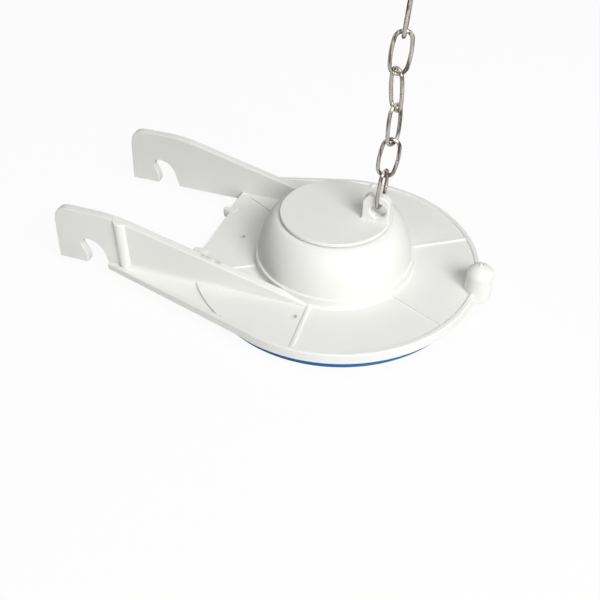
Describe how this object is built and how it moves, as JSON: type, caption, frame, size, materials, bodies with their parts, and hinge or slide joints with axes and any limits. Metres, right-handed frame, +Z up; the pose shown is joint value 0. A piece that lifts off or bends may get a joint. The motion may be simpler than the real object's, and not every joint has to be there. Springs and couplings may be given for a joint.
{
  "type": "toilet flapper",
  "caption": "Toilet flapper: a white moulded frame with a bell and hook arms, a cap with a chain eye, a blue seal ring, and a wire chain ending in a clip.",
  "frame": {"origin": "on the plane of the seal ring's flat foot, below the middle of the part's length and width", "axes": "+X from the hook arms towards the front knob, +Y across the arms, +Z up out of the bell and along the chain"},
  "size_m": [0.1146, 0.076, 0.0938],
  "materials": {
    "white_plastic": "satin moulded white",
    "blue_rubber": "matt moulded blue",
    "steel_wire": "drawn wire, bright"
  },
  "bodies": {
    "flapper": {"frame": "white_plastic", "dome_cap": "white_plastic", "seal": "blue_rubber"},
    "link_1": {"chain_link_1": "steel_wire"},
    "link_2": {"chain_link_2": "steel_wire"},
    "link_3": {"chain_link_3": "steel_wire"},
    "link_4": {"chain_link_4": "steel_wire"},
    "link_5": {"chain_link_5": "steel_wire"},
    "link_6": {"chain_link_6": "steel_wire"},
    "clip": {"chain_clip": "steel_wire"}
  },
  "joints": [
    {"name": "eye_swing", "type": "hinge", "parent": "flapper", "child": "link_1", "pos_m": [0.02612, 0, 0.02515], "axis": [0, 1, 0], "range_deg": [-45, 90]},
    {"name": "link_2_swing", "type": "hinge", "parent": "link_1", "child": "link_2", "pos_m": [0.02673, 0.00061, 0.03531], "axis": [0.1699, 0.983, -0.0692], "range_deg": [-75, 75]},
    {"name": "link_3_swing", "type": "hinge", "parent": "link_2", "child": "link_3", "pos_m": [0.02802, 0.00089, 0.04417], "axis": [0.9855, 0.1007, -0.1366], "range_deg": [-75, 55]},
    {"name": "link_4_swing", "type": "hinge", "parent": "link_3", "child": "link_4", "pos_m": [0.02801, 0.001, 0.05313], "axis": [-0.3905, -0.9204, 0.0197], "range_deg": [-75, 75]},
    {"name": "link_5_swing", "type": "hinge", "parent": "link_4", "child": "link_5", "pos_m": [0.02763, 0.00093, 0.06207], "axis": [0.7425, -0.6694, 0.0226], "range_deg": [-75, 75]},
    {"name": "link_6_swing", "type": "hinge", "parent": "link_5", "child": "link_6", "pos_m": [0.02864, 0.00078, 0.07098], "axis": [0.9289, 0.3608, -0.0828], "range_deg": [-75, 75]},
    {"name": "clip_swing", "type": "hinge", "parent": "link_6", "child": "clip", "pos_m": [0.02934, 0.00141, 0.07988], "axis": [0.1432, -0.9885, 0.0479], "range_deg": [-75, 75]}
  ]
}
